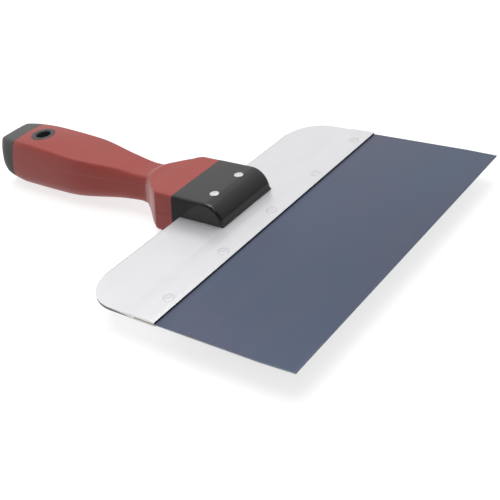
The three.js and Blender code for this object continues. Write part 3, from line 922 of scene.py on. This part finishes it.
# %% Colour, roughness and relief
def tints(finish, factor, *colours):
    """A ramp of colours, evenly spaced over the middle of a factor's range."""
    node = finish.node_tree.nodes.new("ShaderNodeValToRGB")
    ramp = node.color_ramp
    while len(ramp.elements) < len(colours):
        ramp.elements.new(sum(NOISE_SPAN) / 2)
    stops = np.linspace(*NOISE_SPAN, len(colours))
    for element, stop, colour in zip(ramp.elements, stops, colours):
        element.position = stop
        element.color = (*colour, 1)
    finish.node_tree.links.new(factor, node.inputs["Fac"])
    return node.outputs["Color"]


def scaled(finish, colour, factor):
    """A colour times a factor."""
    node = finish.node_tree.nodes.new("ShaderNodeVectorMath")
    node.operation = "SCALE"
    finish.node_tree.links.new(colour, node.inputs[0])
    finish.node_tree.links.new(factor, node.inputs["Scale"])
    return node.outputs["Vector"]


def vary_roughness(finish, factor, low, high):
    """Roughness that runs from low to high with a noise."""
    rough = map_range(finish.node_tree, factor, NOISE_SPAN, (low, high))
    join(finish, rough, "Roughness")


def relief(finish, factor, height, strength):
    """A bump whose height, in metres, follows a noise."""
    node = finish.node_tree.nodes.new("ShaderNodeBump")
    node.inputs["Distance"].default_value = height
    node.inputs["Strength"].default_value = strength
    finish.node_tree.links.new(factor, node.inputs["Height"])
    join(finish, node.outputs["Normal"], "Normal")


def rolled_across(finish, amount):
    """Rolling and drawing marks along X stretch a reflection along Y: the tangent is the piece's
    own Y axis, turned into world space, and the amount is how far the reflection is stretched."""
    across = finish.node_tree.nodes.new("ShaderNodeVectorTransform")
    across.vector_type = "VECTOR"
    across.convert_from, across.convert_to = "OBJECT", "WORLD"
    across.inputs["Vector"].default_value = (0, 1, 0)
    join(finish, across.outputs["Vector"], "Tangent")
    fix(finish, "Anisotropic", amount)


# %% Put finishes on pieces
def dress(finish, *pieces):
    """Put one finish on each piece."""
    for piece in pieces:
        piece.data.materials.clear()
        piece.data.materials.append(finish)
    print(finish.name, "on", [piece.name for piece in pieces])


def linear(*srgb):
    """Linear colour of an sRGB colour given as 0 to 255: the standard curve, with its straight
    foot below a value of 0.04045."""
    c = np.array(srgb) / 255
    return tuple(np.where(c <= 0.04045, c / 12.92, ((c + 0.055) / 1.055) ** 2.4))

# %% [markdown]
# Bluing is a thin oxide on rolled spring steel. The colour is in the metal's reflection, so the
# shader is fully metallic with a grey-blue base. Rolling leaves a grain along the blade: noise that
# is stretched hundreds of times along X gives its streaks, its roughness and a faint bump. The
# colour is darker towards one corner, and a tangent across the grain stretches the reflections.

# %% Blued spring steel
DARKER_CORNER = (0.75, 0.66, 0.0)
blued = new_finish("blued_spring_steel", linear(92, 101, 120), roughness=0.34, metallic=1.0)
grain = noise(blued, scale=1.0, detail=5.0, stretch=(25, 2600, 200))
cloud = noise(blued, scale=14.0, detail=3.0, stretch=(1, 2.6, 1))
hue = tints(blued, cloud, linear(86, 99, 117), linear(90, 98, 117), linear(94, 98, 116))
# Darker towards one corner: the base colour is scaled down along that direction.
corner = along(blued.node_tree, "Object", DARKER_CORNER)
darker_to_corner = map_range(blued.node_tree, corner, (0.0, 0.17), (1.03, 0.88), smooth=True)
streaks = map_range(blued.node_tree, grain, NOISE_SPAN, (0.93, 1.07))
join(blued, scaled(blued, scaled(blued, hue, streaks), darker_to_corner), "Base Color")
vary_roughness(blued, grain, low=0.34, high=0.42)
relief(blued, grain, height=4 * MICRON, strength=0.2)
rolled_across(blued, amount=0.6)
dress(blued, blade)

# %% [markdown]
# Aluminium from a die is bright but satin. Half metallic is a stand-in for the pale haze of its
# natural oxide, which a pure metal shader leaves out. The drawing lines are too fine to see one by
# one, so they only vary the roughness, and a soft bump stands for handling.

# %% Extruded aluminium
alu = new_finish("extruded_aluminium", linear(222, 222, 225), roughness=0.28, metallic=0.5)
lines = noise(alu, scale=1.0, detail=4.0, stretch=(8, 1800, 1800))
handling = noise(alu, scale=60.0, detail=4.0)
join(alu, tints(alu, handling, linear(213, 213, 216), linear(217, 217, 219)), "Base Color")
vary_roughness(alu, lines, low=0.29, high=0.35)
relief(alu, handling, height=20 * MICRON, strength=0.1)
rolled_across(alu, amount=0.85)
dress(alu, plate)

# %% [markdown]
# Cut faces look different from rolled ones. The plate's saw-cut border is matt and light: its
# colour is lighter than the metal, as painted light against the shade beneath it. The lip's front
# face gets a dark blue-grey, which is a painted shade and a painted reflection of the dark blade,
# and the blade's sheared sides show bare steel. Each is a second finish on the faces of the same
# piece, chosen by the way they face.


# %% Finishes of the cut faces
def face_normals(piece):
    """Normals of all faces as an array."""
    normals = np.empty(len(piece.data.polygons) * 3)
    piece.data.polygons.foreach_get("normal", normals)
    return normals.reshape(-1, 3)


def dress_faces(piece, finish, chosen):
    """Put a further finish on the chosen faces of a piece, next to those it has."""
    index = np.empty(len(piece.data.polygons), dtype=np.int32)
    piece.data.polygons.foreach_get("material_index", index)
    piece.data.materials.append(finish)
    index[chosen] = len(piece.data.materials) - 1
    piece.data.polygons.foreach_set("material_index", index)
    print(piece.name, "has", int(chosen.sum()), "faces of", finish.name)


# %% Sawn faces with painted light, the lip's painted shade, and sheared faces
# A face is steep where less than this share of its normal points up or down.
STEEP = 0.5
# The saw-cut faces are matt, and their colour is lighter than the metal, as painted light against the
# shade beneath the plate.
sawn_painted_light = new_finish("sawn_aluminium_painted_light", linear(244, 242, 239), roughness=0.6)
teeth = noise(sawn_painted_light, scale=1400.0, detail=3.0)
vary_roughness(sawn_painted_light, teeth, low=0.5, high=0.7)
relief(sawn_painted_light, teeth, height=10 * MICRON, strength=0.3)
# The lip's front face gets a dark blue-grey: a painted shade and a painted reflection of the dark
# blade beside it.
lip_painted_shade = new_finish("lip_painted_shade_and_reflection", linear(40, 42, 60), roughness=0.35, metallic=0.5)
vary_roughness(lip_painted_shade, noise(lip_painted_shade, scale=300.0, detail=3.0), low=0.25, high=0.45)
sheared = new_finish("sheared_steel", linear(190, 188, 184), roughness=0.5, metallic=0.5)
vary_roughness(sheared, noise(sheared, scale=1800.0, detail=3.0), low=0.4, high=0.6)
facing = face_normals(plate)
steep = np.abs(facing[:, 2]) < STEEP
dress_faces(plate, sawn_painted_light, steep & (facing[:, 1] <= STEEP))
dress_faces(plate, lip_painted_shade, steep & (facing[:, 1] > STEEP))
facing = face_normals(blade)
dress_faces(blade, sheared, (np.abs(facing[:, 2]) < STEEP) & (np.abs(facing[:, 0]) > STEEP))

# %% [markdown]
# Rivet heads are pressed by a tool and stay a little rougher than the plate. The small bump breaks
# up the reflection, so each dome reads as worked metal rather than as a mirror.

# %% Rivet metal
bright = new_finish("bright_rivet", linear(203, 203, 205), roughness=0.42, metallic=0.8)
marks = noise(bright, scale=900.0, detail=3.0)
vary_roughness(bright, marks, low=0.38, high=0.5)
relief(bright, marks, height=20 * MICRON, strength=0.2)
dress(bright, *[o for o in bpy.data.objects if o.name.endswith("_turned")])

# %% [markdown]
# The nose is moulded nylon or ABS: glossy, but never perfectly so. A broad haze moves the roughness
# up and down over a few centimetres, as fingers do, and a pebble bump far finer than a millimetre
# takes the hardness out of the highlights along its rounded edges.

# %% Hard black plastic
black = new_finish("hard_black_plastic", linear(26, 25, 26), roughness=0.16)
vary_roughness(black, noise(black, scale=45.0, detail=4.0), low=0.17, high=0.25)
relief(black, noise(black, scale=2600.0, detail=2.0), height=20 * MICRON, strength=0.12)
dress(black, nose)

# %% [markdown]
# Soft-touch rubber scatters light in a fine nap, so its edges go pale at grazing angles. Sheen does
# that, with the plain specular reflection turned down. Mottling in the colour is kept within a few
# shades, and pores of under a millimetre give the matt surface something to break up light with.

# %% Soft red rubber
red = new_finish("soft_red_rubber", linear(146, 58, 51), roughness=0.55)
mottle = noise(red, scale=28.0, detail=4.0)
join(red, tints(red, mottle, linear(141, 55, 48), linear(149, 61, 54)), "Base Color")
vary_roughness(red, mottle, low=0.5, high=0.62)
relief(red, noise(red, scale=2200.0, detail=3.0), height=30 * MICRON, strength=0.2)
fix(red, "Specular IOR Level", 0.3)
fix(red, "Sheen Weight", 0.33)
fix(red, "Sheen Roughness", 0.4)
dress(red, grip, *mould_lines)

# %% [markdown]
# The cap is the same kind of plastic as the nose, but from a mould with a spark-eroded texture. A
# single fine fleck drives colour, roughness and bump together, because on the real surface they are
# one thing: the pits are darker, rougher and lower.

# %% Charcoal plastic
charcoal = new_finish("charcoal_plastic", linear(72, 70, 70), roughness=0.6)
fleck = noise(charcoal, scale=1500.0, detail=3.0)
join(charcoal, tints(charcoal, fleck, linear(66, 64, 65), linear(78, 76, 76)), "Base Color")
vary_roughness(charcoal, fleck, low=0.5, high=0.68)
relief(charcoal, fleck, height=40 * MICRON, strength=0.25)
dress(charcoal, cap)

# %% [markdown]
# The lining is smoother and darker than the cap. Only its rim is seen, so its finish is short: one
# noise for the roughness and the bump.

# %% Darker plastic of the hang hole's lining
dark = new_finish("lining_plastic", linear(54, 52, 53), roughness=0.5)
grit = noise(dark, scale=1500.0, detail=3.0)
vary_roughness(dark, grit, low=0.42, high=0.6)
relief(dark, grit, height=30 * MICRON, strength=0.2)
dress(dark, ring)

# %% [markdown]
# The knife lies on a plain white floor under a large soft light, like a catalogue object on a
# sweep of paper. The world is white too, bright towards the back of the room and dim on the other
# side, so metal has something bright to reflect.

# %% Floor
FLOOR_REACH = 12.0
FLOOR_DROP = 0.2 * MM
PAPER_BASE, PAPER_GLOW = 0.3, 0.75
BACK_OF_ROOM = (-0.72, -0.63, 0.29)
SHADE_SPAN = (-0.6, 0.75)
DIM_SIDE, BRIGHT_SIDE = 0.12, 0.95
WHITE = (1, 1, 1, 1)
square = np.array([[-1, -1, 0], [1, -1, 0], [1, 1, 0], [-1, 1, 0]])
floor = add_piece("floor", square * FLOOR_REACH - [0, 0, FLOOR_DROP], [[0, 1, 2, 3]])
floor.visible_glossy = False
paper = new_finish("white_paper", [PAPER_BASE] * 3, roughness=0.9)
fix(paper, "Emission Color", WHITE)
fix(paper, "Emission Strength", PAPER_GLOW)
dress(paper, floor)

# %% World
world = bpy.data.worlds.new("white_room")
world.use_nodes = True
tree = world.node_tree
background = tree.nodes["Background"]
background.inputs["Color"].default_value = WHITE
toward = along(tree, "Generated", BACK_OF_ROOM)
level = map_range(tree, toward, SHADE_SPAN, (DIM_SIDE, BRIGHT_SIDE), smooth=True)
tree.links.new(level, background.inputs["Strength"])
bpy.context.scene.world = world
bpy.context.scene.view_settings.view_transform = "Standard"


# %% Lights
def soft_light(name, place, size, power):
    """A square area light at a place counted from the middle of the plate's lip, facing it."""
    data = bpy.data.lights.new(name, "AREA")
    data.size = size
    data.energy = power
    light = bpy.data.objects.new(name, data)
    bpy.context.scene.collection.objects.link(light)
    turn = (-Vector(place)).to_track_quat("-Z", "Y").to_matrix().to_4x4()
    light.matrix_world = Matrix.Translation(origin + Vector(place)) @ turn
    print(name, "light of", power, "W")


soft_light("overhead", place=(-0.1, -0.1, 1.3), size=1.1, power=14.0)
soft_light("glint", place=(0.62, 0.47, 0.75), size=0.12, power=0.7)
